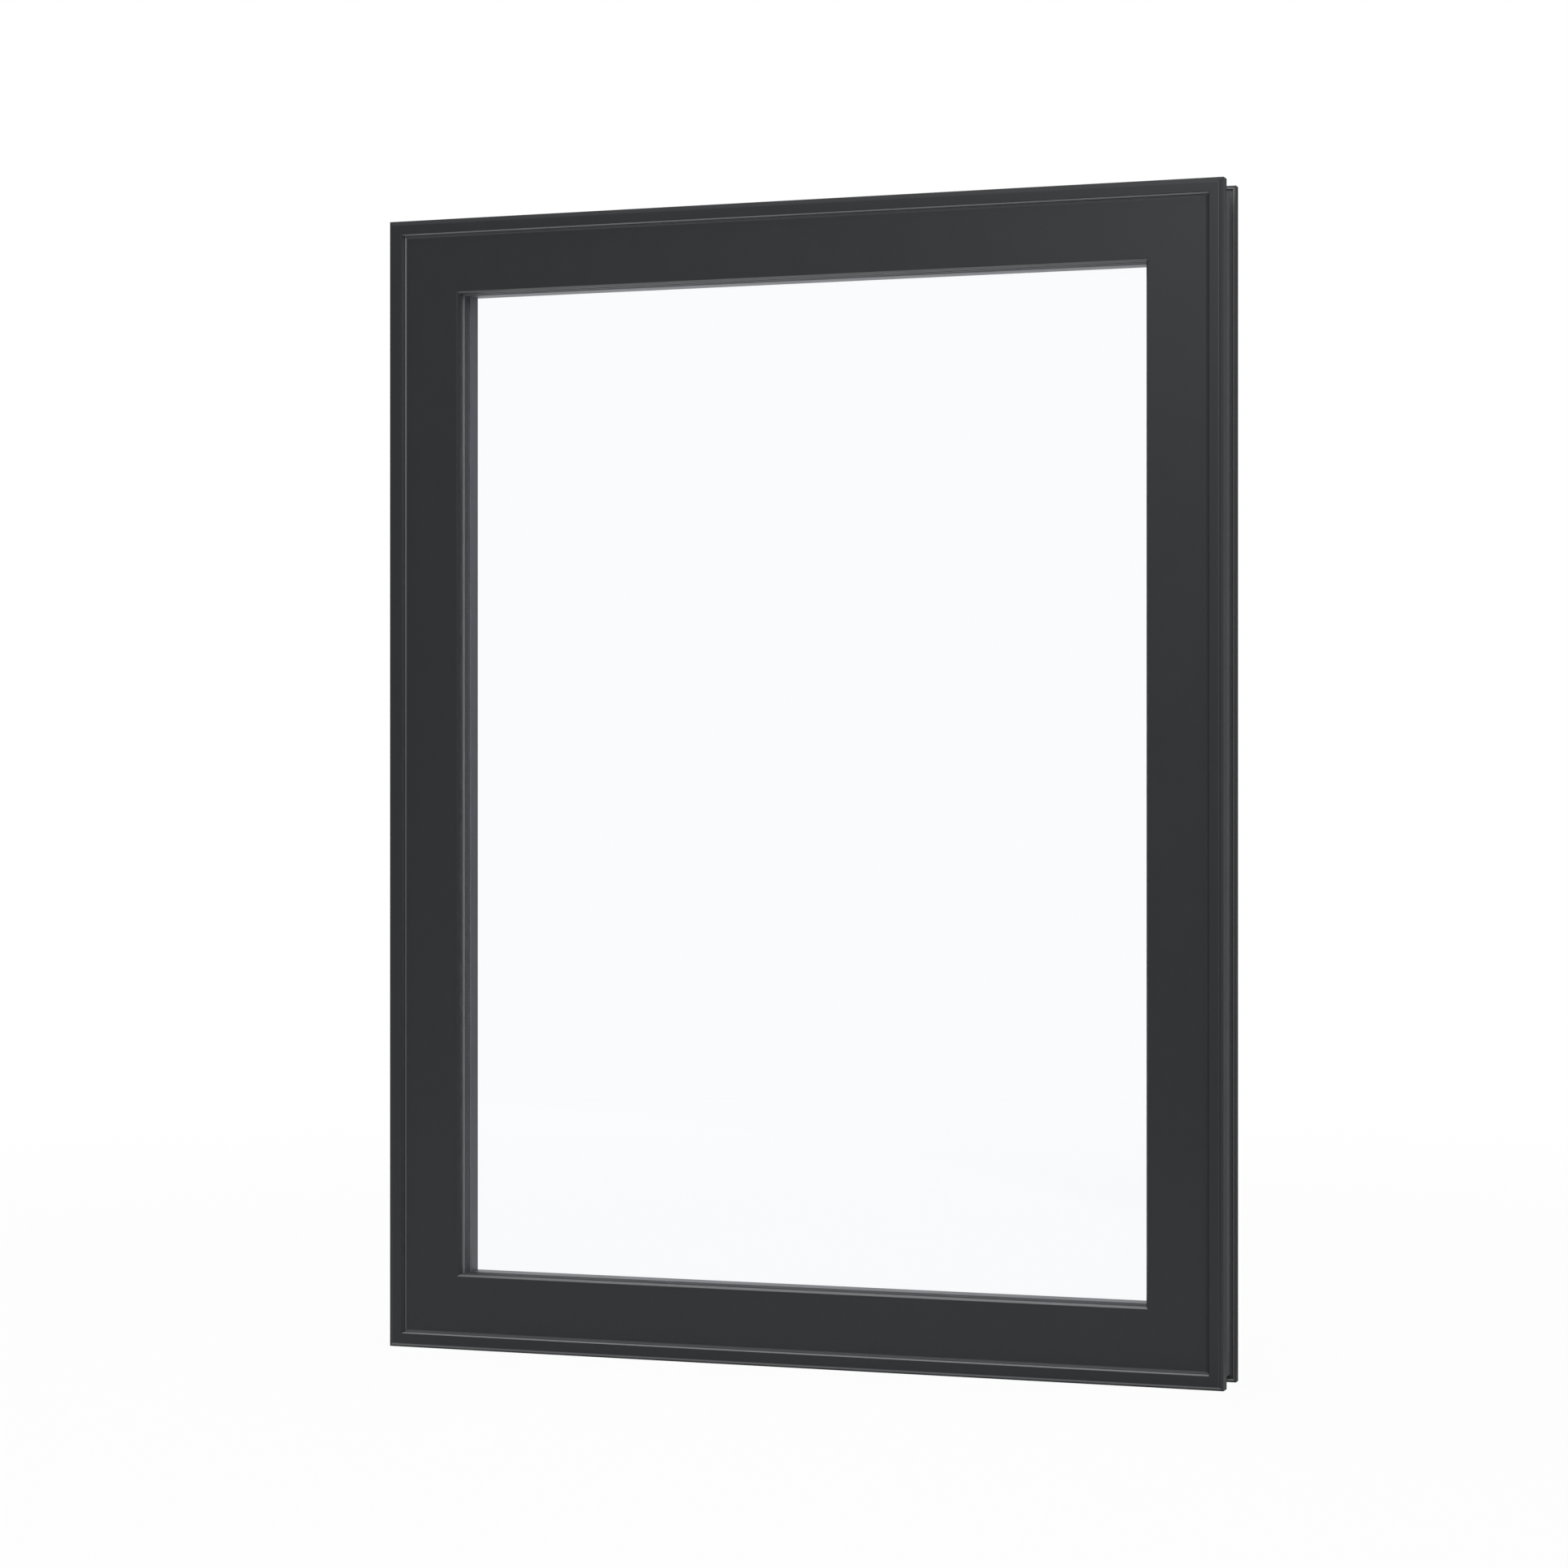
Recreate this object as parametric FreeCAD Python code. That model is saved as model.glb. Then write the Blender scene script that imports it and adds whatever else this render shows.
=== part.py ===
import FreeCAD, Part
import os

# Fixed picture window: a mitred outer frame holds a mitred fixed sash, and the sash
# holds a sealed double-glazing unit between gaskets and clip-on glazing beads.
# Millimetres. X runs along the sill, Y from the front (weather) face to the back, Z up.
# Origin: middle of the sill's underside.

# Overall size
window_width = 905.0
window_height = 1200.0

# Outer frame section
nose_width = 14.4            # front band, from the outer edge inwards
nose_draft = 0.7             # lean of its inner wall
bevel_width = 4.7            # flat bevel along the outer front edge
bevel_depth = 1.9
front_plate = 16.5           # front to back, before the clip channel
channel_depth = 7.1          # clip channel round the perimeter
hook_width = 3.2             # lip that holds a fixing clip in the channel
hook_rise = 3.9
hook_lead_in = 1.6           # bevel that leads a clip behind the hook
flange_thickness = 7.0       # back flange behind the hook
shoulder_width = 13.0        # ledge that the sash seats on
rear_leg_reach = 17.0        # back leg that covers the sash's edge
rear_leg_thickness = 13.0
rear_leg_bevel = 3.0         # along the back leg's inner edge

# Fixed sash section
sash_clearance = 0.3         # between the sash and the frame, all round
face_recess = 4.0            # sash face behind the frame's front face
face_chamfer_width = 3.35    # sloped edge beside the frame's nose
face_chamfer_depth = 2.5
sash_body_width = 29.6
lip_reach = 19.2             # front lip, from the rebate floor to its front edge
lip_thickness = 5.75
lip_slope_width = 2.1        # slope along the lip's front edge
lip_slope_depth = 3.0
lip_draft = 0.3              # lean of the lip's inner wall behind the slope

# Glazing unit
pane_thickness = 6.0
cavity_width = 12.0
pane_edge_clearance = 4.0    # between a pane's edge and the rebate floor
spacer_set_in = 10.35        # from a pane's edge to the spacer bar
spacer_height = 7.0

# Gaskets, beads and rear seal
gasket_set_in = 4.0          # from a pane's edge to a gasket
outer_gasket_thickness = 2.5
outer_gasket_proud = 0.3     # outer gasket past the edge of the front lip
inner_gasket_thickness = 4.5
inner_gasket_flare = 0.75    # wedge shape: how much wider it is at the glass
bead_height = 19.65          # from the rebate floor inwards, at the glass
bead_lean = 0.9              # how much higher its nose stands
bead_depth = 19.25
bead_chamfer = 3.9
bead_proud = 3.0             # bead behind the back of the sash
rear_seal_size = 4.0

# Depths from the front face, worked out
lip_back = face_recess + lip_thickness
outer_pane_front = lip_back + outer_gasket_thickness
outer_pane_back = outer_pane_front + pane_thickness
inner_pane_front = outer_pane_back + cavity_width
inner_pane_back = inner_pane_front + pane_thickness
bead_front = inner_pane_back + inner_gasket_thickness
bead_back = bead_front + bead_depth
sash_back = bead_back - bead_proud
frame_depth = sash_back + rear_leg_thickness
flange_front = frame_depth - flange_thickness
hook_front = flange_front - hook_rise

# Distances inwards from the outer edge, worked out
nose_inner = nose_width + nose_draft
sash_outer = nose_inner + sash_clearance
seat_inner = nose_inner + shoulder_width
rear_leg_inner = seat_inner + rear_leg_reach
sash_body_outer = seat_inner + sash_clearance
rebate_floor = sash_body_outer + sash_body_width
lip_inner = rebate_floor + lip_reach
lip_slope_inner = lip_inner + lip_slope_width
lip_inner_back = lip_slope_inner + lip_draft
pane_edge = rebate_floor + pane_edge_clearance
spacer_outer = pane_edge + spacer_set_in
spacer_inner = spacer_outer + spacer_height
gasket_outer = pane_edge + gasket_set_in
outer_gasket_inner = lip_inner_back + outer_gasket_proud
bead_inner = rebate_floor + bead_height
bead_nose = bead_inner + bead_lean

# Sections as (inwards, depth) points. Each one is the same on all four sides.
frame_section = [
    (0, bevel_depth),
    (bevel_width, 0),
    (nose_width, 0),
    (nose_inner, face_recess + face_chamfer_depth),
    (nose_inner, front_plate),
    (seat_inner, front_plate),
    (seat_inner, sash_back),
    (rear_leg_inner, sash_back),
    (rear_leg_inner, frame_depth - rear_leg_bevel),
    (rear_leg_inner - rear_leg_bevel, frame_depth),
    (0, frame_depth),
    (0, hook_front),
    (hook_width - hook_lead_in, hook_front),
    (hook_width, hook_front + hook_lead_in),
    (hook_width, flange_front),
    (channel_depth, flange_front),
    (channel_depth, front_plate),
    (0, front_plate),
]
sash_section = [
    (sash_outer, face_recess + face_chamfer_depth),
    (sash_outer + face_chamfer_width, face_recess),
    (lip_inner, face_recess),
    (lip_slope_inner, face_recess + lip_slope_depth),
    (lip_inner_back, lip_back),
    (rebate_floor, lip_back),
    (rebate_floor, sash_back),
    (sash_body_outer, sash_back),
    (sash_body_outer, front_plate),
    (sash_outer, front_plate),
]
outer_gasket_section = [
    (gasket_outer, lip_back),
    (outer_gasket_inner, lip_back),
    (outer_gasket_inner, outer_pane_front),
    (gasket_outer, outer_pane_front),
]
inner_gasket_section = [
    (gasket_outer, inner_pane_back),
    (bead_inner + inner_gasket_flare, inner_pane_back),
    (bead_inner, bead_front),
    (gasket_outer, bead_front),
]
spacer_section = [
    (spacer_outer, outer_pane_back),
    (spacer_inner, outer_pane_back),
    (spacer_inner, inner_pane_front),
    (spacer_outer, inner_pane_front),
]
bead_section = [
    (rebate_floor, bead_front),
    (bead_inner, bead_front),
    (bead_nose, bead_back - bead_chamfer),
    (bead_nose - bead_chamfer, bead_back),
    (rebate_floor, bead_back),
]
rear_seal_section = [
    (rear_leg_inner, sash_back),
    (rear_leg_inner + rear_seal_size, sash_back),
    (rear_leg_inner, sash_back + rear_seal_size),
]

vector = FreeCAD.Vector
across = vector(0, 1, 0)

# Side name: length of its bar, its outer edge's middle, and the turn about Y that
# points the section inwards from that edge
sides = {
    "bottom": (window_width, vector(0, 0, 0), 0),
    "top": (window_width, vector(0, 0, window_height), 180),
    "left": (window_height, vector(-window_width / 2, 0, window_height / 2), 90),
    "right": (window_height, vector(window_width / 2, 0, window_height / 2), -90),
}


def mitred_bar(section, length):
    """A bar of one section, its outer edge along X at Z = 0, mitred at both ends."""
    reach = max(inwards for inwards, depth in section)
    outline = [vector(-length / 2, depth, inwards) for inwards, depth in section]
    bar = Part.Face(Part.makePolygon(outline + outline[:1])).extrude(vector(length, 0, 0))
    mitre = [
        vector(-length / 2, 0, 0),
        vector(length / 2, 0, 0),
        vector(length / 2 - reach, 0, reach),
        vector(-length / 2 + reach, 0, reach),
    ]
    cutter = Part.Face(Part.makePolygon(mitre + mitre[:1])).extrude(across * frame_depth)
    return bar.common(cutter)


def on_side(section, side):
    """The mitred bar of one side of the window."""
    length, edge_middle, turn = sides[side]
    bar = mitred_bar(section, length)
    bar.rotate(vector(0, 0, 0), across, turn)
    bar.translate(edge_middle - across * (frame_depth / 2))
    return bar


def pane(front):
    """One sheet of glass, with its front face at the given depth."""
    width = window_width - 2 * pane_edge
    height = window_height - 2 * pane_edge
    corner = vector(-width / 2, front - frame_depth / 2, pane_edge)
    return Part.makeBox(width, pane_thickness, height, corner)


bar_sets = [
    (frame_section, {"bottom": "frame_sill", "top": "frame_head",
                     "left": "frame_left_jamb", "right": "frame_right_jamb"}),
    (sash_section, {"bottom": "sash_bottom_rail", "top": "sash_top_rail",
                    "left": "sash_left_stile", "right": "sash_right_stile"}),
    (outer_gasket_section, {side: "outer_gasket_" + side for side in sides}),
    (inner_gasket_section, {side: "inner_gasket_" + side for side in sides}),
    (spacer_section, {side: "spacer_" + side for side in sides}),
    (bead_section, {side: "bead_" + side for side in sides}),
    (rear_seal_section, {side: "rear_seal_" + side for side in sides}),
]

nodes = {"outer_pane": pane(outer_pane_front), "inner_pane": pane(inner_pane_front)}
for section, names in bar_sets:
    for side, name in names.items():
        nodes[name] = on_side(section, side)

os.makedirs("parts", exist_ok=True)
for name, shape in nodes.items():
    shape.exportStep("parts/" + name + ".step")
    print(name, len(shape.Solids), "solid", round(shape.Volume / 1000, 1), "cm3", shape.isValid())
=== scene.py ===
import math

import bmesh
import bpy
from mathutils import Matrix, Vector


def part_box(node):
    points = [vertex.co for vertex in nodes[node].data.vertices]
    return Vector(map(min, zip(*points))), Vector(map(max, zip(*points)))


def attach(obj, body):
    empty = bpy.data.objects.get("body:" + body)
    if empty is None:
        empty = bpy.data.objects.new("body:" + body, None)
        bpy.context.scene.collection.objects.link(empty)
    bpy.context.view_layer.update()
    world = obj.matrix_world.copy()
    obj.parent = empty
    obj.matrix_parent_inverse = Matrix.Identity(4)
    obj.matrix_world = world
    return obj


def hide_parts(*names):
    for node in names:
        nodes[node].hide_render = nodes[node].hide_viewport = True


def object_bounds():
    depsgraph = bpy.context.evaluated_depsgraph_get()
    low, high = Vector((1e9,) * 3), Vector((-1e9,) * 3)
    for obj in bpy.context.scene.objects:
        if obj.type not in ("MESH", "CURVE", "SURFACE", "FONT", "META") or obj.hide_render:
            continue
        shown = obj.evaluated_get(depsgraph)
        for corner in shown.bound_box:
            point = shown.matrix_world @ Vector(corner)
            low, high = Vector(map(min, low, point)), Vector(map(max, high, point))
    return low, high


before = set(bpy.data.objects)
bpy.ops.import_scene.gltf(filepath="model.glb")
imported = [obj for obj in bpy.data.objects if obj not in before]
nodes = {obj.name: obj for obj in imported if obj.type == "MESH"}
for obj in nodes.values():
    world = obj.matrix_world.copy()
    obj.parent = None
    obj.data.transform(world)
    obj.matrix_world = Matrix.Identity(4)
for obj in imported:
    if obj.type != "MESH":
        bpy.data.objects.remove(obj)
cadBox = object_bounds()
scene = bpy.context.scene
sides = ("bottom", "top", "left", "right")
plainWhite = (1, 1, 1, 1)
noiseMiddle = 0.5
print("frame loaded:", len(nodes), "nodes")


# one socket of a node tree: + - * add Math nodes, add() makes any other node
class Wire:
    def __init__(self, tree, socket=None):
        self.tree = tree
        self.socket = socket

    def add(self, kind, settings, sockets, output=0):
        node = self.tree.nodes.new(kind)
        for name, value in settings.items():
            setattr(node, name, value)
        for name, value in sockets.items():
            if isinstance(value, Wire):
                self.tree.links.new(value.socket, node.inputs[name])
            else:
                node.inputs[name].default_value = value
        return Wire(self.tree, node.outputs[output] if len(node.outputs) else None)

    def math(self, operation, first, second):
        return self.add("ShaderNodeMath", {"operation": operation}, {0: first, 1: second})

    def __add__(self, other):
        return self.math("ADD", self, other)

    def __radd__(self, other):
        return self.math("ADD", other, self)

    def __sub__(self, other):
        return self.math("SUBTRACT", self, other)

    def __rsub__(self, other):
        return self.math("SUBTRACT", other, self)

    def __mul__(self, other):
        return self.math("MULTIPLY", self, other)

    def __rmul__(self, other):
        return self.math("MULTIPLY", other, self)

    # colours blend through a Mix node, whose colours are inputs 6 and 7 and output 2
    def blend(self, first, second):
        return self.add("ShaderNodeMix", {"data_type": "RGBA"}, {0: self, 6: first, 7: second}, 2)

    def ramp(self, low, high):
        return self.add("ShaderNodeMapRange", {"interpolation_type": "SMOOTHSTEP"},
                        {"Value": self, "From Min": low, "From Max": high})

    # one coordinate of a vector, and its length
    def part(self, axis):
        return self.add("ShaderNodeSeparateXYZ", {}, {"Vector": self}, axis)

    def length(self):
        return self.add("ShaderNodeVectorMath", {"operation": "LENGTH"}, {0: self}, "Value")


# an empty material, and its tree as a Wire to add nodes with
def newMaterial(name):
    material = bpy.data.materials.new(name)
    material.use_nodes = True
    material.node_tree.nodes.clear()
    return material, Wire(material.node_tree)


def objectPlace(tree):
    return tree.add("ShaderNodeTexCoord", {}, {}, "Object")


def objectNoise(tree, scale, detail):
    return tree.add("ShaderNodeTexNoise", {}, {
        "Vector": objectPlace(tree), "Scale": scale, "Detail": detail})


# powder coat: matt grey, with a fine orange peel and slow changes of tone and gloss
powderCoat = {
    "tones": {               # mean colour; the paler tones are painted highlights and reflections on the same coat
        "coat": (0.0220, 0.0235, 0.0269),
        "lip": (0.0345, 0.0360, 0.0396),
        "edge": (0.0525, 0.0540, 0.0578),
        "joint": (0.0700, 0.0720, 0.0765),
        "bead": (0.112, 0.118, 0.132),
        "headBead": (0.188, 0.198, 0.221),
        "pale": (0.117, 0.120, 0.126),
        "thin": (0.158, 0.162, 0.169),
        "rim": (0.205, 0.210, 0.219),
        "ledge": (0.373, 0.380, 0.392),
    },
    "toneSpread": 0.055,     # share of the colour, to either side
    "toneScale": 5.0,        # per metre
    "toneDetail": 3.0,
    "roughness": 0.40,
    "roughnessSpread": 0.10,
    "glossScale": 45.0,
    "glossDetail": 3.0,
    "peelScale": 1500.0,
    "peelDetail": 1.5,
    "peelDepth": 0.00003,
    "peelStrength": 0.35,
}

# narrow faces on which the tone changes along a line or towards one edge, all painted light and shade: a
# pale painted reflection along the sill's bevel, painted highlights by the nose on the chamfers, the
# left chamfer and bead lighter towards the top, the clip channel's floor lighter towards its deep end,
# and the right side lighter or darker face by face. Distances in from one side of the window over which
# the tone comes and goes, and the tone beside it
coatLines = {
    "sillBevel": {"side": "bottom", "tone": "thin", "beside": "lip",
                  "comes": (0.0014, 0.0024), "goes": (0.0040, 0.0030)},
    "sillChamfer": {"side": "bottom", "tone": "rim", "beside": "joint", "comes": (0.0189, 0.0154)},
    "headChamfer": {"side": "top", "tone": "rim", "beside": "joint", "comes": (0.0169, 0.0154)},
    "leftClimb": {"side": "bottom", "tone": "ledge", "beside": "thin", "comes": (0.35, 1.60)},
    "leftChamfer": {"side": "left", "tone": "ledge", "beside": "leftClimb", "comes": (0.0165, 0.0150)},
    "leftBead": {"side": "bottom", "tone": "headBead", "beside": "bead", "comes": (0.0, 2.0)},
    "rightBevel": {"side": "right", "tone": "coat", "beside": "lip", "comes": (0.0010, 0.0034)},
    "rightPlate": {"side": "front", "tone": "edge", "beside": "lip", "comes": (0.0125, 0.0065)},
    "clipFloor": {"side": "front", "tone": "ledge", "beside": "thin", "comes": (0.0550, 0.0660)},
    "rightFlange": {"side": "right", "tone": "pale", "beside": "joint", "comes": (0.0042, 0.0068)},
}
# the axis that runs in from each of these sides, and its way
inwardAxes = {
    "bottom": ("Z", 1),
    "top": ("Z", -1),
    "left": ("X", 1),
    "right": ("X", -1),
    "front": ("Y", 1),
}


# colour of one tone, or of one of the lines
def coatColour(tree, tone, look):
    if tone in coatLines:
        return lineColour(tree, coatLines[tone], look)
    spread = look["toneSpread"]
    dark = [part * (1 - spread) for part in look["tones"][tone]] + [1]
    light = [part * (1 + spread) for part in look["tones"][tone]] + [1]
    return objectNoise(tree, look["toneScale"], look["toneDetail"]).blend(dark, light)


def lineColour(tree, line, look):
    low, high = cadBox
    axis, way = inwardAxes[line["side"]]
    start = getattr(low if way > 0 else high, axis.lower())
    inward = (objectPlace(tree).part(axis) - start) * way
    inLine = inward.ramp(*line["comes"])
    if "goes" in line:
        inLine = inLine * inward.ramp(*line["goes"])
    return inLine.blend(coatColour(tree, line["beside"], look), coatColour(tree, line["tone"], look))


def makePowderCoat(name, look):
    material, tree = newMaterial(name + "Tone")
    gloss = objectNoise(tree, look["glossScale"], look["glossDetail"])
    peel = objectNoise(tree, look["peelScale"], look["peelDetail"])
    normal = tree.add("ShaderNodeBump", {}, {
        "Strength": look["peelStrength"], "Distance": look["peelDepth"], "Height": peel})
    coat = tree.add("ShaderNodeBsdfPrincipled", {}, {
        "Base Color": coatColour(tree, name, look),
        "Roughness": (gloss - noiseMiddle) * look["roughnessSpread"] + look["roughness"],
        "Normal": normal})
    tree.add("ShaderNodeOutputMaterial", {}, {"Surface": coat})
    return material


# rubber gaskets and seals: near black, with a faint bloom
rubber = {
    "dark": (0.012, 0.012, 0.013, 1),
    "bloom": (0.028, 0.028, 0.030, 1),
    "bloomScale": 60.0,
    "bloomDetail": 4.0,
    "bloomFrom": (0.35, 0.75),
    "roughness": 0.62,
    "roughnessSpread": 0.2,
    "specular": 0.1,
    "grainScale": 2600.0,
    "grainDetail": 2.0,
    "grainDepth": 0.00002,
    "grainStrength": 0.4,
}
# gasket in front of the glass, and the wall of the lip that it grips: a grey rubber, lighter than the
# seals, as painted light
lipRubber = dict(rubber, dark=(0.055, 0.057, 0.061, 1), bloom=(0.072, 0.075, 0.081, 1))
# wedge gasket behind the glass: a softer rubber, greyer as painted light against the shade between glass
# and bead
wedgeRubber = dict(rubber, dark=(0.155, 0.162, 0.180, 1), bloom=(0.180, 0.188, 0.208, 1), specular=0.5)


def makeRubber(name, look):
    material, tree = newMaterial(name)
    bloom = objectNoise(tree, look["bloomScale"], look["bloomDetail"])
    grain = objectNoise(tree, look["grainScale"], look["grainDetail"])
    normal = tree.add("ShaderNodeBump", {}, {
        "Strength": look["grainStrength"], "Distance": look["grainDepth"], "Height": grain})
    body = tree.add("ShaderNodeBsdfPrincipled", {}, {
        "Base Color": bloom.ramp(*look["bloomFrom"]).blend(look["dark"], look["bloom"]),
        "Roughness": (bloom - noiseMiddle) * look["roughnessSpread"] + look["roughness"],
        "Specular IOR Level": look["specular"],
        "Normal": normal})
    tree.add("ShaderNodeOutputMaterial", {}, {"Surface": body})
    return material


# spacer bar of the glazing unit: grey composite, paler towards either pane as painted light, with two
# rows of breathing slots
spacerBar = {
    "dark": (0.064, 0.066, 0.074, 1),
    "light": (0.080, 0.083, 0.093, 1),
    "fleckScale": 900.0,
    "fleckDetail": 2.0,
    "fleckFrom": (0.3, 0.7),
    "sealant": (0.285, 0.290, 0.301, 1),
    "paneLightFrom": (0.0040, 0.0062),     # painted light, from the middle of the cavity towards either pane
    "roughness": 0.75,
    "roughnessSpread": 0.15,
    "slotPitch": 0.0042,
    "slotLength": 0.0017,
    "slotWidth": 0.0004,
    "slotProud": 0.00004,
    "rowSpread": 0.0046,
    "endMargin": 0.012,
    "slotColour": (0.012, 0.012, 0.013, 1),
    "slotRoughness": 0.7,
    "slotRoughnessSpread": 0.2,
    "speckScale": 1200.0,
    "speckDetail": 1.0,
}
# the bar along the bottom, in the shade of the glass: darker, as painted shade
sillSpacerBar = dict(spacerBar, dark=(0.023, 0.025, 0.030, 1), light=(0.030, 0.033, 0.039, 1),
                     sealant=(0.106, 0.112, 0.123, 1))


def makeSpacer(name, look):
    material, tree = newMaterial(name)
    fleck = objectNoise(tree, look["fleckScale"], look["fleckDetail"])
    composite = fleck.ramp(*look["fleckFrom"]).blend(look["dark"], look["light"])
    # painted light: the bar is paler towards either pane, where light through the glass falls on it
    low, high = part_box("spacer_top")
    fromMiddle = objectPlace(tree).part("Y") - (low.y + high.y) / 2
    apart = tree.add("ShaderNodeMath", {"operation": "ABSOLUTE"}, {0: fromMiddle})
    body = tree.add("ShaderNodeBsdfPrincipled", {}, {
        "Base Color": apart.ramp(*look["paneLightFrom"]).blend(composite, look["sealant"]),
        "Roughness": (fleck - noiseMiddle) * look["roughnessSpread"] + look["roughness"]})
    tree.add("ShaderNodeOutputMaterial", {}, {"Surface": body})
    return material


# painted shade: near-black patches stand in for the dark inside of the breathing holes
def makeSlotShade(look):
    material, tree = newMaterial("spacerSlot")
    speck = objectNoise(tree, look["speckScale"], look["speckDetail"])
    body = tree.add("ShaderNodeBsdfPrincipled", {}, {
        "Base Color": look["slotColour"],
        "Roughness": speck * look["slotRoughnessSpread"] + look["slotRoughness"]})
    tree.add("ShaderNodeOutputMaterial", {}, {"Surface": body})
    return material


# float glass: clear, faintly cool, with a slow roller wave in what it mirrors
glass = {
    "passes": (0.9925, 0.9968, 1.0, 1),   # at each face
    "ior": 1.25,                          # mirrors less than bare glass does
    "mirrorRoughness": 0.0,
    "waveScale": 6.0,
    "waveDetail": 0.0,
    "waveDepth": 0.0002,
    "waveStrength": 0.2,
}


def makeGlass(look):
    material, tree = newMaterial("floatGlass")
    wave = objectNoise(tree, look["waveScale"], look["waveDetail"])
    normal = tree.add("ShaderNodeBump", {}, {
        "Strength": look["waveStrength"], "Distance": look["waveDepth"], "Height": wave})
    # a ray goes straight through, so on its way out, where a slant would mirror all of it,
    # nothing mirrors
    wayOut = tree.add("ShaderNodeNewGeometry", {}, {}, "Backfacing")
    mirrored = tree.add("ShaderNodeFresnel", {}, {"IOR": look["ior"]}) * (1 - wayOut)
    clear = tree.add("ShaderNodeBsdfTransparent", {}, {"Color": look["passes"]})
    mirror = tree.add("ShaderNodeBsdfAnisotropic", {}, {
        "Roughness": look["mirrorRoughness"], "Normal": normal})
    pane = tree.add("ShaderNodeMixShader", {}, {0: mirrored, 1: clear, 2: mirror})
    tree.add("ShaderNodeOutputMaterial", {}, {"Surface": pane})
    return material


# the coat's own colour and its paler and darker painted tones, then the other materials
finishesAndPaintedTones = {name: makePowderCoat(name, powderCoat) for name in (*powderCoat["tones"], *coatLines)}
finishesAndPaintedTones.update({
    "rubber": makeRubber("sealRubber", rubber),
    "lipRubber": makeRubber("lipRubber", lipRubber),
    "wedge": makeRubber("wedgeRubber", wedgeRubber),
    "spacer": makeSpacer("spacerBar", spacerBar),
    "sillSpacer": makeSpacer("sillSpacerBar", sillSpacerBar),
    "slot": makeSlotShade(spacerBar),
    "glass": makeGlass(glass),
})
print("finishes made:", ", ".join(finishesAndPaintedTones))


def addPiece(name, mesh):
    piece = bpy.data.objects.new(name, mesh)
    scene.collection.objects.link(piece)
    return piece


# a plain mesh of what the piece's modifiers give; the piece keeps none of them
def bakeModifiers(piece):
    bpy.context.view_layer.update()
    evaluated = piece.evaluated_get(bpy.context.evaluated_depsgraph_get())
    mesh = bpy.data.meshes.new_from_object(evaluated)
    mesh.name = piece.name
    piece.modifiers.clear()
    piece.data = mesh


# zones of the bars that take another tone on some sides, as painted light and shade: painted highlights
# and reflections, mostly paler tones of the coat, and painted shade where a tone is darker, such as on
# the bottom spacer bar. The depths from the front and the distances in from the outside that the middles
# of their faces lie between
noseWall = {"depth": (0.0006, 0.0160), "inward": (0.0142, 0.0153),
            "finishOrPaintedTone": {"bottom": "ledge", "top": "ledge", "left": "joint", "right": "joint"}}
outerBevel = {"depth": (0.0003, 0.0017), "inward": (0.0003, 0.0045),
              "finishOrPaintedTone": {"bottom": "sillBevel", "right": "rightBevel"}}
bevelEdge = {"depth": (0.00001, 0.0003), "inward": (0.0042, 0.0051),
             "finishOrPaintedTone": {"right": "lip"}}
plateEdge = {"depth": (0.0013, 0.0024), "inward": (0.00001, 0.0006),
             "finishOrPaintedTone": {"right": "edge"}}
plateSide = {"depth": (0.0023, 0.0162), "inward": (-0.0002, 0.0002),
             "finishOrPaintedTone": {"right": "rightPlate"}}
clipChannel = {"depth": (0.0168, 0.0627), "inward": (0.0068, 0.0074),
               "finishOrPaintedTone": {side: "clipFloor" for side in sides}}
hookFront = {"depth": (0.0588, 0.0595), "inward": (0.0003, 0.0016),
             "finishOrPaintedTone": {side: "joint" for side in sides}}
hookLeadIn = {"depth": (0.0593, 0.0606), "inward": (0.0017, 0.0031),
              "finishOrPaintedTone": {side: "ledge" for side in sides}}
flangeFront = {"depth": (0.0627, 0.0633), "inward": (0.0033, 0.0069),
               "finishOrPaintedTone": {"bottom": "joint", "top": "joint", "left": "joint", "right": "rightFlange"}}
faceChamfer = {"depth": (0.0041, 0.0064), "inward": (0.0155, 0.0187),
               "finishOrPaintedTone": {"bottom": "sillChamfer", "top": "headChamfer",
                          "left": "leftChamfer", "right": "edge"}}
lipSlope = {"depth": (0.0041, 0.0069), "inward": (0.0773, 0.0792),
            "finishOrPaintedTone": {"bottom": "thin", "top": "pale", "left": "lip"}}
# painted light and shade: the lip's wall takes the grey gasket rubber on three sides and a paler coat
# tone on top
lipWall = {"depth": (0.0071, 0.0096), "inward": (0.0792, 0.0797),
           "finishOrPaintedTone": {"bottom": "lipRubber", "top": "lip", "left": "lipRubber", "right": "lipRubber"}}
beadWall = {"depth": (0.0408, 0.0560), "inward": (0.0774, 0.0788),
            "finishOrPaintedTone": {"bottom": "bead", "top": "headBead", "left": "leftBead", "right": "bead"}}
# painted shade: the bottom spacer bar takes the darker copy
wholeSpacer = {"depth": (0.0180, 0.0305), "inward": (0.0720, 0.0797),
               "finishOrPaintedTone": {"bottom": "sillSpacer"}}
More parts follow.
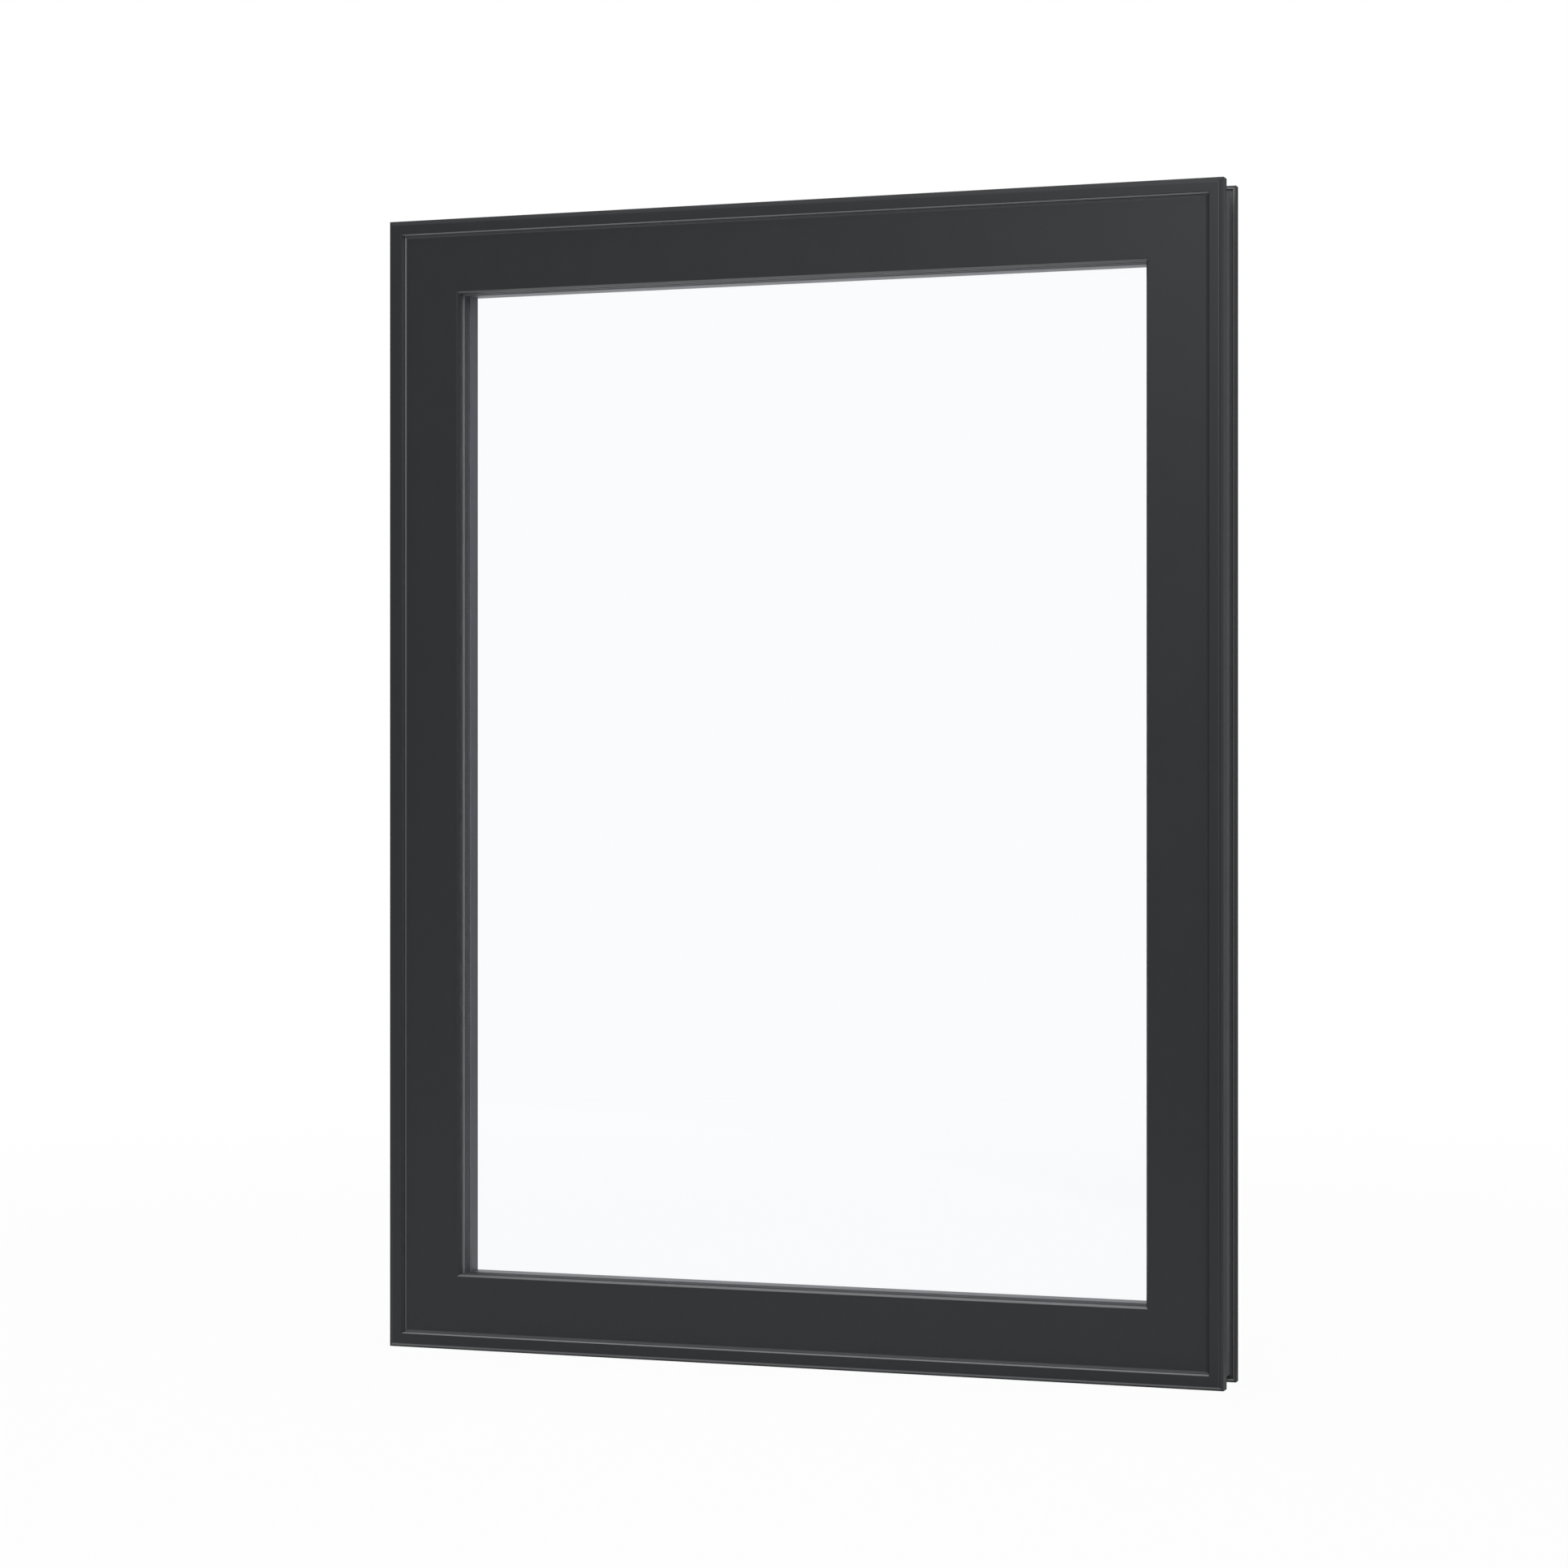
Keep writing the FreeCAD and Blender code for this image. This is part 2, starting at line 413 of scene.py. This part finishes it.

# the four bars of each kind, in the order of the sides: finish, radii along the outer edges, along
# those near the front, in the inner corners and at the mitres, and zones of painted light and shade
bars = {
    "frame": {"nodes": ("frame_sill", "frame_head", "frame_left_jamb", "frame_right_jamb"),
              "finishOrPaintedTone": "coat", "slot": "frame_coat",
              "edge": 0.0003, "front": 0.0005, "corner": 0.0003, "mitre": 0.00006,
              "zones": (noseWall, outerBevel, bevelEdge, plateEdge, plateSide, clipChannel, hookFront,
                        hookLeadIn, flangeFront)},
    "sash": {"nodes": ("sash_bottom_rail", "sash_top_rail", "sash_left_stile", "sash_right_stile"),
             "finishOrPaintedTone": "coat", "slot": "frame_coat",
             "edge": 0.0003, "front": 0.0005, "corner": 0.0003, "mitre": 0.00006,
             "zones": (faceChamfer, lipSlope, lipWall)},
    "bead": {"nodes": ["bead_" + side for side in sides],
             "finishOrPaintedTone": "coat", "slot": "frame_coat",
             "edge": 0.0005, "corner": 0.0003, "mitre": 0.00008,
             "zones": (beadWall,)},
    "outerGasket": {"nodes": ["outer_gasket_" + side for side in sides],
                    "finishOrPaintedTone": "lipRubber", "slot": "seal",
                    "edge": 0.0009, "corner": 0.0003, "mitre": 0.00008},
    "innerGasket": {"nodes": ["inner_gasket_" + side for side in sides],
                    "finishOrPaintedTone": "wedge", "slot": "seal",
                    "edge": 0.0006, "corner": 0.0003, "mitre": 0.00008},
    "rearSeal": {"nodes": ["rear_seal_" + side for side in sides],
                 "finishOrPaintedTone": "rubber", "slot": "seal",
                 "edge": 0.0007, "corner": 0.0003, "mitre": 0.00008},
    "spacer": {"nodes": ["spacer_" + side for side in sides],
               "finishOrPaintedTone": "spacer", "slot": "spacer",
               "edge": 0.0008, "corner": 0.0003, "mitre": 0.00005,
               "zones": (wholeSpacer,)},
}
frontZone = 0.0045                   # depth up to which an edge is near the front
roundSteps = 3
mergeGap = 1e-5
flatAngle = math.radians(0.5)
lengthwise = 0.99                    # cosine past which an edge runs along its bar
flatWeight = 100                     # large faces alone set the normals


# camelCase name of a piece from its node's name
def pieceName(node):
    words = node.split("_")
    return words[0] + "".join(word.capitalize() for word in words[1:])


# faces inside a zone take its painted tone on this side instead of the bar's own finish
def paintZones(mesh, zones, side):
    low, high = cadBox
    for zone in zones:
        if side not in zone["finishOrPaintedTone"]:
            continue
        mesh.materials.append(finishesAndPaintedTones[zone["finishOrPaintedTone"][side]])
        (shallow, deep), (outer, inner) = zone["depth"], zone["inward"]
        for face in mesh.polygons:
            middle = face.center
            depth = middle.y - low.y
            inward = min(middle.x - low.x, high.x - middle.x, middle.z - low.z, high.z - middle.z)
            if shallow < depth < deep and outer < inward < inner:
                face.material_index = len(mesh.materials) - 1


# a copy of a bar with its long edges rounded and its mitres left as hairlines
def dressBar(node, side, look):
    mesh = bpy.data.meshes.new(pieceName(node))
    work = bmesh.new()
    work.from_mesh(nodes[node].data)
    bmesh.ops.remove_doubles(work, verts=work.verts, dist=mergeGap)
    bmesh.ops.dissolve_limit(work, angle_limit=flatAngle, verts=work.verts, edges=work.edges)
    low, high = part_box(node)
    along = Vector((1, 0, 0)) if high.x - low.x > high.z - low.z else Vector((0, 0, 1))
    weights = work.edges.layers.float.new("bevel_weight_edge")
    widest = max(look["edge"], look.get("front", 0))
    for edge in work.edges:
        run = (edge.verts[1].co - edge.verts[0].co).normalized()
        if abs(run.dot(along)) < lengthwise:
            radius = look["mitre"]
        elif not edge.is_convex:
            radius = look["corner"]
        else:
            shallow = edge.verts[0].co.y - cadBox[0].y < frontZone
            radius = look.get("front", look["edge"]) if shallow else look["edge"]
        edge[weights] = radius / widest
    for face in work.faces:
        face.smooth = True
    work.to_mesh(mesh)
    work.free()
    piece = addPiece(mesh.name, mesh)
    rounding = piece.modifiers.new("rounding", "BEVEL")
    rounding.limit_method = "WEIGHT"
    rounding.width = widest
    rounding.segments = roundSteps
    flats = piece.modifiers.new("flats", "WEIGHTED_NORMAL")
    flats.weight = flatWeight
    bakeModifiers(piece)
    piece.data.materials.clear()
    piece.data.materials.append(finishesAndPaintedTones[look["finishOrPaintedTone"]])
    paintZones(piece.data, look.get("zones", ()), side)
    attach(piece, "root")
    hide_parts(node)
    return piece


for kind, look in bars.items():
    made = [dressBar(node, side, look) for node, side in zip(look["nodes"], sides)]
    print("bars dressed:", kind, sum(len(piece.data.polygons) for piece in made), "faces")

for name in ("outer_pane", "inner_pane"):
    nodes[name].data.materials.clear()
    nodes[name].data.materials.append(finishesAndPaintedTones["glass"])
print("panes glazed")

slotSockets = {
    "Run": "NodeSocketFloat",
    "Pitch": "NodeSocketFloat",
    "Slot Size": "NodeSocketVector",
    "Row Spread": "NodeSocketFloat",
    "Slot Shade": "NodeSocketMaterial",
}


# two rows of slots along X, as a tree with named inputs
def makeSlotTree():
    group = bpy.data.node_groups.new("breathingSlots", "GeometryNodeTree")
    inputs = {}
    for name, kind in slotSockets.items():
        inputs[name] = group.interface.new_socket(name, in_out="INPUT", socket_type=kind).identifier
    group.interface.new_socket("Slots", in_out="OUTPUT", socket_type="NodeSocketGeometry")
    tree = Wire(group)
    given = {name: tree.add("NodeGroupInput", {}, {}, name) for name in inputs}
    fits = tree.math("DIVIDE", given["Run"], given["Pitch"])
    count = tree.add("ShaderNodeMath", {"operation": "FLOOR"}, {0: fits})
    first = tree.add("ShaderNodeCombineXYZ", {}, {"X": (count - 1) * given["Pitch"] * -0.5})
    step = tree.add("ShaderNodeCombineXYZ", {}, {"X": given["Pitch"]})
    line = tree.add("GeometryNodeMeshLine", {}, {
        "Count": count, "Start Location": first, "Offset": step})
    slot = tree.add("GeometryNodeMeshCube", {}, {"Size": given["Slot Size"]})
    rows = []
    for half in (-0.5, 0.5):
        shift = tree.add("ShaderNodeCombineXYZ", {}, {"Y": given["Row Spread"] * half})
        rows.append(tree.add("GeometryNodeTransform", {}, {"Geometry": line, "Translation": shift}))
    joined = tree.add("GeometryNodeJoinGeometry", {}, {"Geometry": rows[0]})
    group.links.new(rows[1].socket, joined.socket.node.inputs["Geometry"])
    placed = tree.add("GeometryNodeInstanceOnPoints", {}, {"Points": joined, "Instance": slot})
    plain = tree.add("GeometryNodeRealizeInstances", {}, {"Geometry": placed})
    shaded = tree.add("GeometryNodeSetMaterial", {}, {
        "Geometry": plain, "Material": given["Slot Shade"]})
    tree.add("NodeGroupOutput", {}, {"Slots": shaded})
    return group, inputs


# slots on the face of one spacer bar that looks into the glazed opening: near-black patches just proud
# of the face, painted shade for holes that are not cut
def laySlotPatches(side, group, inputs, look):
    low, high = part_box("spacer_" + side)
    middle = (low + high) / 2
    upright = side in ("left", "right")
    run = (high.z - low.z) if upright else (high.x - low.x)
    reach = (high.x - low.x) if upright else (high.z - low.z)
    quarterTurn = Matrix.Rotation(math.pi / 2, 4, "Y")
    place = {
        "bottom": Matrix.Translation((middle.x, middle.y, high.z)),
        "top": Matrix.Translation((middle.x, middle.y, low.z)),
        "left": Matrix.Translation((high.x, middle.y, middle.z)) @ quarterTurn,
        "right": Matrix.Translation((low.x, middle.y, middle.z)) @ quarterTurn,
    }[side]
    piece = addPiece("spacerSlots" + side.capitalize(), bpy.data.meshes.new("slots"))
    maker = piece.modifiers.new("slots", "NODES")
    maker.node_group = group
    values = {
        "Run": run - 2 * (reach + look["endMargin"]),
        "Pitch": look["slotPitch"],
        "Slot Size": (look["slotLength"], look["slotWidth"], 2 * look["slotProud"]),
        "Row Spread": look["rowSpread"],
        "Slot Shade": finishesAndPaintedTones["slot"],
    }
    for name, value in values.items():
        maker[inputs[name]] = value
    bakeModifiers(piece)
    piece.data.transform(place)
    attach(piece, "root")
    return piece


slotTree, slotInputs = makeSlotTree()
slotFaces = sum(len(laySlotPatches(side, slotTree, slotInputs, spacerBar).data.polygons) for side in sides)
print("spacer slots:", slotFaces, "faces")

# studio: a white disc of floor, a white surround for the camera, soft lamps
studio = {
    "floorRadius": 9.0,
    "floorSides": 96,
    "floorColour": (0.80, 0.80, 0.80, 1),
    "floorGlow": 0.95,           # share of plain white in what the camera sees of it, near the window
    "floorFade": (1.2, 3.2),     # distances over which it goes to plain white
    "frontFade": (0.2, -0.2),    # places along Y over which it becomes the floor in front
    "litAt": (-0.534, 0.27, 0.0),    # oval of painted light on the floor, which only reflections show
    "litHalf": (1.36, 3.40, 1.0),
    "litTurn": -26.7,
    "litFade": (0.97, 1.03),
    "litShade": 0.25,
    "rightSlant": 0.2,           # floor behind the window and to its right, painted dim in reflections
    "rightFrom": (0.15, 0.35),
    "fill": 0.56,                # surround as a light
    "mirrorLevel": 0.18,         # surround in reflections, at eye level
    "mirrorPole": 0.55,          # overhead
    "poleFade": (0.15, 0.8),
    "mirrorBack": 0.95,          # and behind the window, to the left
    "backToward": (-0.7, 0.714, 0.0),
    "backFade": (0.5, 0.95),
}
lamps = {
    "keySoftbox": {"at": (0.8, -3.9, 2.85), "size": (2.0, 1.6), "watts": 60.0},
    "topSoftbox": {"at": (-0.2, -0.4, 3.3), "size": (2.6, 0.6), "watts": 14.0},
    "backSoftbox": {"at": (-1.2, 2.1, 3.0), "size": (3.2, 1.6), "watts": 14.0},
}


# how far a direction points behind the window and to the left
def backShare(tree, toward, look):
    along = tree.add("ShaderNodeVectorMath", {"operation": "DOT_PRODUCT"},
                     {0: toward, 1: look["backToward"]}, "Value")
    return along.ramp(*look["backFade"])


def makeFloor(look):
    mesh = bpy.data.meshes.new("studioFloor")
    work = bmesh.new()
    bmesh.ops.create_circle(work, cap_ends=True, segments=look["floorSides"], radius=look["floorRadius"])
    work.to_mesh(mesh)
    work.free()
    material, tree = newMaterial("studioFloor")
    place = objectPlace(tree)
    seen = tree.add("ShaderNodeLightPath", {}, {}, "Is Camera Ray")
    mirrored = tree.add("ShaderNodeLightPath", {}, {}, "Is Glossy Ray")
    # matt floor, nearly plain white to the camera and in reflections behind to the left
    matt = tree.add("ShaderNodeBsdfDiffuse", {}, {"Color": look["floorColour"]})
    glow = tree.add("ShaderNodeEmission", {}, {"Color": plainWhite, "Strength": 1.0})
    white = place.length().ramp(*look["floorFade"]) * (1 - look["floorGlow"]) + look["floorGlow"]
    toward = tree.add("ShaderNodeVectorMath", {"operation": "NORMALIZE"}, {0: place})
    plain = tree.math("MAXIMUM", seen, mirrored * backShare(tree, toward, look))
    pale = tree.add("ShaderNodeMixShader", {}, {0: plain * white, 1: matt, 2: glow})
    # painted shade in reflections: the floor shows as a dim glow in front, outside the painted lit oval,
    # and behind to the right
    inFront = place.part("Y").ramp(*look["frontFade"])
    oval = tree.add("ShaderNodeMapping", {"vector_type": "TEXTURE"}, {
        "Vector": place, "Location": look["litAt"], "Rotation": (0, 0, math.radians(look["litTurn"])),
        "Scale": look["litHalf"]})
    unlit = oval.length().ramp(*look["litFade"]) * (1 - look["litShade"]) + look["litShade"]
    fromRight = place.part("X") - place.part("Y") * look["rightSlant"]
    right = fromRight.ramp(*look["rightFrom"]) * (1 - inFront)
    dim = tree.add("ShaderNodeEmission", {}, {"Color": plainWhite, "Strength": look["mirrorLevel"]})
    shown = tree.add("ShaderNodeMixShader", {}, {
        0: mirrored * (unlit * inFront + right), 1: pale, 2: dim})
    tree.add("ShaderNodeOutputMaterial", {}, {"Surface": shown})
    floor = addPiece("studioFloor", mesh)
    floor.data.materials.append(material)


# white to the camera and through the glass, dimmer and graded in reflections, even as a light
def makeWorld(look):
    world = bpy.data.worlds.new("studioWorld")
    scene.world = world
    world.use_nodes = True
    world.node_tree.nodes.clear()
    tree = Wire(world.node_tree)
    toward = tree.add("ShaderNodeTexCoord", {}, {}, "Generated")
    steep = tree.add("ShaderNodeMath", {"operation": "ABSOLUTE"}, {0: toward.part("Z")})
    pole = steep.ramp(*look["poleFade"])
    mirrorLight = (pole * (look["mirrorPole"] - look["mirrorLevel"]) + look["mirrorLevel"]
                   + backShare(tree, toward, look) * (look["mirrorBack"] - look["mirrorLevel"]))
    fill = tree.add("ShaderNodeBackground", {}, {"Color": plainWhite, "Strength": look["fill"]})
    mirror = tree.add("ShaderNodeBackground", {}, {"Color": plainWhite, "Strength": mirrorLight})
    white = tree.add("ShaderNodeBackground", {}, {"Color": plainWhite, "Strength": 1.0})
    seen = tree.add("ShaderNodeLightPath", {}, {}, "Is Camera Ray")
    mirrored = tree.add("ShaderNodeLightPath", {}, {}, "Is Glossy Ray")
    through = tree.add("ShaderNodeLightPath", {}, {}, "Is Transmission Ray")
    lit = tree.add("ShaderNodeMixShader", {}, {0: mirrored, 1: fill, 2: mirror})
    straight = tree.math("MAXIMUM", seen, through)
    shown = tree.add("ShaderNodeMixShader", {}, {0: straight, 1: lit, 2: white})
    tree.add("ShaderNodeOutputWorld", {}, {"Surface": shown})


def makeLamp(name, look, aim):
    data = bpy.data.lights.new(name, "AREA")
    data.shape = "RECTANGLE"
    data.size, data.size_y = look["size"]
    data.energy = look["watts"]
    lamp = bpy.data.objects.new(name, data)
    scene.collection.objects.link(lamp)
    lamp.location = look["at"]
    lamp.rotation_euler = (aim - lamp.location).to_track_quat("-Z", "Y").to_euler()


# camera: level with the middle of the window and to its right
view = {
    "lens": 85.0,
    "sensor": 36.0,
    "right": 1.2406,         # of the window's middle
    "inFront": 3.595,        # of the frame's front face
    "turn": 19.13,           # degrees to the left
}


def makeCamera(look):
    data = bpy.data.cameras.new("camera")
    data.lens = look["lens"]
    data.sensor_width = look["sensor"]
    data.dof.use_dof = False
    camera = bpy.data.objects.new("camera", data)
    scene.collection.objects.link(camera)
    low, high = cadBox
    camera.location = (look["right"], low.y - look["inFront"], (low.z + high.z) / 2)
    camera.rotation_euler = (math.pi / 2, 0, math.radians(look["turn"]))
    scene.camera = camera


makeFloor(studio)
makeWorld(studio)
windowMiddle = (cadBox[0] + cadBox[1]) / 2
for name, look in lamps.items():
    makeLamp(name, look, windowMiddle)
makeCamera(view)
scene.view_settings.view_transform = "Standard"
print("studio, lamps and camera set")
